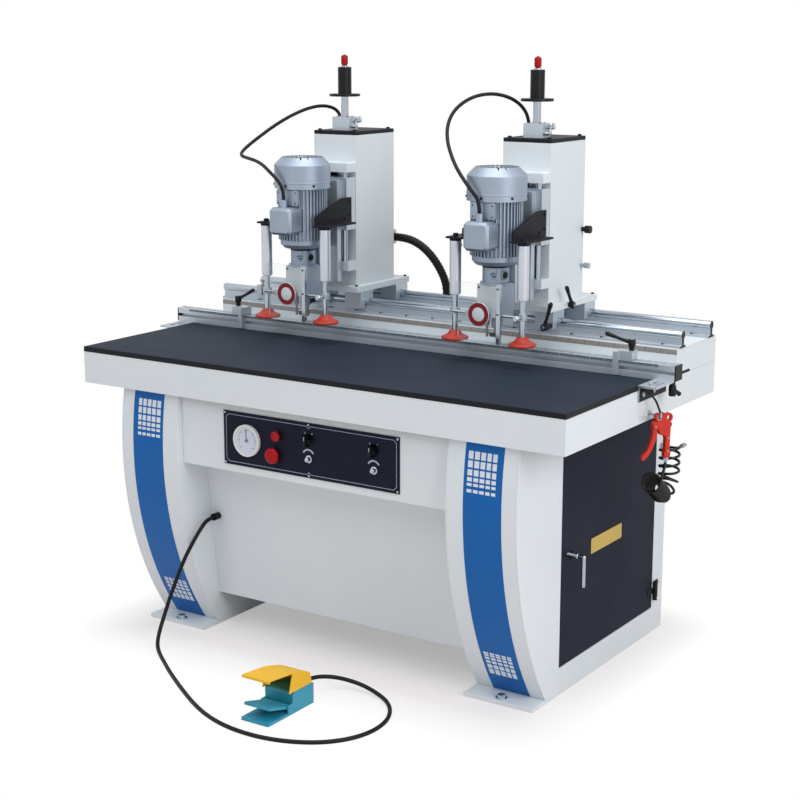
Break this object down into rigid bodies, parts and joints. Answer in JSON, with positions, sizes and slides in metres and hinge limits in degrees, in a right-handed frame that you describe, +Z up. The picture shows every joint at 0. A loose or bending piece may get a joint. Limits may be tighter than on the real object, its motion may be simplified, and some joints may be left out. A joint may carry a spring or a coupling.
{
  "type": "double-head hinge boring machine",
  "caption": "Floor-standing woodworking machine with paired air-fed drilling heads on rails, a fence, a table and a foot pedal, for boring hinge cups in cabinet doors.",
  "frame": {"origin": "on the floor under the middle of the table, fence ends and table depth centred on it", "axes": "+X along the fence to the operator's right, +Y from the operator towards the rails, +Z up"},
  "size_m": [1.844, 1.4247, 1.793],
  "materials": {
    "white_paint": "satin powder coat, cool white",
    "dark_board": "matt laminate, near black",
    "navy_paint": "satin navy paint",
    "bare_aluminium": "anodised, satin",
    "ground_steel": "ground shafts and plates",
    "grey_casting": "light grey hammer paint",
    "motor_grey": "blue grey motor paint",
    "black_plastic": "matt black",
    "black_steel": "black oxide",
    "red_plastic": "gloss red",
    "orange_red_pad": "red rubber pads, steel rods, clear guard",
    "chrome": "polished",
    "cutter_steel": "ground tool steel",
    "black_rubber": "black cord and hose jacket",
    "teal_plastic": "teal body with yellow hood",
    "gun_red": "gloss red",
    "silver_knob": "turned"
  },
  "bodies": {
    "frame": {"left_pedestal": "white_paint", "right_pedestal": "white_paint", "base_panels": "white_paint", "table_frame": "white_paint", "table_board": "dark_board", "bed": "white_paint", "rails": "ground_steel", "fence": "bare_aluminium", "control_panel": "navy_paint", "air_gun": "gun_red", "gun_hose": "black_rubber", "pedal_body": "teal_plastic", "pedal_cord": "black_rubber", "conduit": "black_rubber"},
    "left_head": {"left_carriage": "grey_casting", "left_column": "white_paint", "left_plunge_cylinder": "black_steel", "left_motor_cable": "black_rubber"},
    "left_drill": {"left_drill_head": "grey_casting", "left_motor": "motor_grey", "left_plunge_rod": "ground_steel", "left_clamp_cylinders": "bare_aluminium"},
    "left_depth_stop": {"left_depth_stop": "black_steel"},
    "left_cup_spindle": {"left_cup_spindle": "cutter_steel"},
    "left_dowel_spindle_a": {"left_dowel_spindle_a": "cutter_steel"},
    "left_dowel_spindle_b": {"left_dowel_spindle_b": "cutter_steel"},
    "left_hold_down": {"left_hold_down": "orange_red_pad"},
    "left_front_lock": {"left_front_lock": "black_plastic"},
    "left_side_lock": {"left_side_lock": "black_plastic"},
    "right_head": {"right_carriage": "grey_casting", "right_column": "white_paint", "right_plunge_cylinder": "black_steel", "right_motor_cable": "black_rubber"},
    "right_drill": {"right_drill_head": "grey_casting", "right_motor": "motor_grey", "right_plunge_rod": "ground_steel", "right_clamp_cylinders": "bare_aluminium"},
    "right_depth_stop": {"right_depth_stop": "black_steel"},
    "right_cup_spindle": {"right_cup_spindle": "cutter_steel"},
    "right_dowel_spindle_a": {"right_dowel_spindle_a": "cutter_steel"},
    "right_dowel_spindle_b": {"right_dowel_spindle_b": "cutter_steel"},
    "right_hold_down": {"right_hold_down": "orange_red_pad"},
    "right_front_lock": {"right_front_lock": "black_plastic"},
    "right_side_lock": {"right_side_lock": "black_plastic"},
    "gauge_needle": {"gauge_needle": "black_steel"},
    "emergency_stop": {"emergency_stop": "red_plastic"},
    "start_button": {"start_button": "red_plastic"},
    "selector_left": {"selector_left": "black_plastic"},
    "selector_right": {"selector_right": "black_plastic"},
    "regulator_left": {"regulator_left": "silver_knob"},
    "regulator_right": {"regulator_right": "silver_knob"},
    "door": {"door": "navy_paint"},
    "door_handle": {"door_handle": "chrome"},
    "left_stop": {"left_stop": "bare_aluminium"},
    "right_stop": {"right_stop": "bare_aluminium"},
    "left_stop_lever": {"left_stop_lever": "black_plastic"},
    "right_stop_lever": {"right_stop_lever": "black_plastic"},
    "fence_lock": {"fence_lock": "black_plastic"},
    "gun_trigger": {"gun_trigger": "gun_red"},
    "pedal_treadle": {"pedal_treadle": "teal_plastic"}
  },
  "joints": [
    {"name": "left_head_slide", "type": "slide", "parent": "frame", "child": "left_head", "axis": [1, 0, 0], "range_m": [-0.19, 0.1], "deforming": ["conduit"]},
    {"name": "left_plunge", "type": "slide", "parent": "left_head", "child": "left_drill", "axis": [0, 0, -1], "range_m": [0, 0.062], "deforming": ["left_motor_cable"]},
    {"name": "left_depth_stop_screw", "type": "slide", "parent": "left_drill", "child": "left_depth_stop", "axis": [0, 0, 1], "range_m": [-0.04, 0]},
    {"name": "left_cup_spin", "type": "hinge", "parent": "left_drill", "child": "left_cup_spindle", "pos_m": [-0.365, 0.019, 1.01], "axis": [0, 0, 1], "continuous": true},
    {"name": "left_dowel_spin_a", "type": "hinge", "parent": "left_drill", "child": "left_dowel_spindle_a", "pos_m": [-0.3875, 0.0095, 1.01], "axis": [0, 0, 1], "continuous": true},
    {"name": "left_dowel_spin_b", "type": "hinge", "parent": "left_drill", "child": "left_dowel_spindle_b", "pos_m": [-0.3425, 0.0095, 1.01], "axis": [0, 0, 1], "continuous": true},
    {"name": "left_hold_down_slide", "type": "slide", "parent": "left_drill", "child": "left_hold_down", "axis": [0, 0, 1], "range_m": [0, 0.038]},
    {"name": "left_front_lock_turn", "type": "hinge", "parent": "left_head", "child": "left_front_lock", "pos_m": [-0.457, 0.17, 0.992], "axis": [0, -1, 0], "range_deg": [0, 60]},
    {"name": "left_side_lock_turn", "type": "hinge", "parent": "left_head", "child": "left_side_lock", "pos_m": [-0.48, 0.285, 1.0455], "axis": [1, 0, 0], "range_deg": [-40, 40]},
    {"name": "right_head_slide", "type": "slide", "parent": "frame", "child": "right_head", "axis": [1, 0, 0], "range_m": [-0.15, 0.3]},
    {"name": "right_plunge", "type": "slide", "parent": "right_head", "child": "right_drill", "axis": [0, 0, -1], "range_m": [0, 0.062], "deforming": ["right_motor_cable"]},
    {"name": "right_depth_stop_screw", "type": "slide", "parent": "right_drill", "child": "right_depth_stop", "axis": [0, 0, 1], "range_m": [-0.04, 0]},
    {"name": "right_cup_spin", "type": "hinge", "parent": "right_drill", "child": "right_cup_spindle", "pos_m": [0.346, 0.019, 1.01], "axis": [0, 0, 1], "continuous": true},
    {"name": "right_dowel_spin_a", "type": "hinge", "parent": "right_drill", "child": "right_dowel_spindle_a", "pos_m": [0.3235, 0.0095, 1.01], "axis": [0, 0, 1], "continuous": true},
    {"name": "right_dowel_spin_b", "type": "hinge", "parent": "right_drill", "child": "right_dowel_spindle_b", "pos_m": [0.3685, 0.0095, 1.01], "axis": [0, 0, 1], "continuous": true},
    {"name": "right_hold_down_slide", "type": "slide", "parent": "right_drill", "child": "right_hold_down", "axis": [0, 0, 1], "range_m": [0, 0.038]},
    {"name": "right_front_lock_turn", "type": "hinge", "parent": "right_head", "child": "right_front_lock", "pos_m": [0.438, 0.17, 0.992], "axis": [0, 1, 0], "range_deg": [0, 60]},
    {"name": "right_side_lock_turn", "type": "hinge", "parent": "right_head", "child": "right_side_lock", "pos_m": [0.461, 0.285, 1.0455], "axis": [1, 0, 0], "range_deg": [-40, 40]},
    {"name": "gauge_needle_turn", "type": "hinge", "parent": "frame", "child": "gauge_needle", "pos_m": [-0.226, -0.459, 0.6755], "axis": [0, 1, 0], "range_deg": [-130, 140]},
    {"name": "emergency_stop_push", "type": "slide", "parent": "frame", "child": "emergency_stop", "axis": [0, 1, 0], "range_m": [0, 0.004], "stiffness_N_per_m": 1500, "springref_m": -0.003},
    {"name": "start_button_push", "type": "slide", "parent": "frame", "child": "start_button", "axis": [0, 1, 0], "range_m": [0, 0.004], "stiffness_N_per_m": 600, "springref_m": -0.003},
    {"name": "selector_left_turn", "type": "hinge", "parent": "frame", "child": "selector_left", "pos_m": [0, -0.465, 0.709], "axis": [0, 1, 0], "range_deg": [-45, 45]},
    {"name": "selector_right_turn", "type": "hinge", "parent": "frame", "child": "selector_right", "pos_m": [0.229, -0.465, 0.709], "axis": [0, 1, 0], "range_deg": [-45, 45]},
    {"name": "regulator_left_turn", "type": "hinge", "parent": "frame", "child": "regulator_left", "pos_m": [0.0015, -0.463, 0.6505], "axis": [0, 1, 0], "range_deg": [-135, 135]},
    {"name": "regulator_right_turn", "type": "hinge", "parent": "frame", "child": "regulator_right", "pos_m": [0.2315, -0.463, 0.6505], "axis": [0, 1, 0], "range_deg": [-135, 135]},
    {"name": "door_swing", "type": "hinge", "parent": "frame", "child": "door", "pos_m": [0.717, 0.405, 0.414], "axis": [0, 0, 1], "range_deg": [0, 105], "deforming": ["gun_hose", "air_gun", "gun_trigger"]},
    {"name": "door_handle_turn", "type": "hinge", "parent": "door", "child": "door_handle", "pos_m": [0.712, -0.151, 0.404], "axis": [1, 0, 0], "range_deg": [0, 90]},
    {"name": "left_stop_slide", "type": "slide", "parent": "frame", "child": "left_stop", "axis": [1, 0, 0], "range_m": [-0.08, 0.1]},
    {"name": "right_stop_slide", "type": "slide", "parent": "frame", "child": "right_stop", "axis": [1, 0, 0], "range_m": [-0.1, 0.08]},
    {"name": "left_stop_lever_turn", "type": "hinge", "parent": "left_stop", "child": "left_stop_lever", "pos_m": [-0.673, 0.0645, 0.99], "axis": [0, 0, 1], "range_deg": [-60, 60]},
    {"name": "right_stop_lever_turn", "type": "hinge", "parent": "right_stop", "child": "right_stop_lever", "pos_m": [0.773, 0.0645, 0.99], "axis": [0, 0, 1], "range_deg": [-60, 60]},
    {"name": "fence_lock_turn", "type": "hinge", "parent": "frame", "child": "fence_lock", "pos_m": [0.902, 0.068, 0.87], "axis": [0, 0, 1], "range_deg": [0, 90]},
    {"name": "gun_trigger_squeeze", "type": "hinge", "parent": "frame", "child": "gun_trigger", "pos_m": [0.88, -0.01705, 0.778], "axis": [0.866, -0.5, 0], "range_deg": [0, 14], "stiffness_Nm_per_rad": 0.4, "springref_deg": -5.73},
    {"name": "pedal_press", "type": "hinge", "parent": "frame", "child": "pedal_treadle", "pos_m": [0.106, -0.76, 0.022], "axis": [1, 0, 0], "range_deg": [0, 8], "stiffness_Nm_per_rad": 6, "springref_deg": -11.46}
  ],
  "couplings": [
    {"joint": "left_dowel_spin_a", "follows": "left_cup_spin", "ratio": -1},
    {"joint": "left_dowel_spin_b", "follows": "left_cup_spin", "ratio": -1},
    {"joint": "right_dowel_spin_a", "follows": "right_cup_spin", "ratio": -1},
    {"joint": "right_dowel_spin_b", "follows": "right_cup_spin", "ratio": -1}
  ]
}
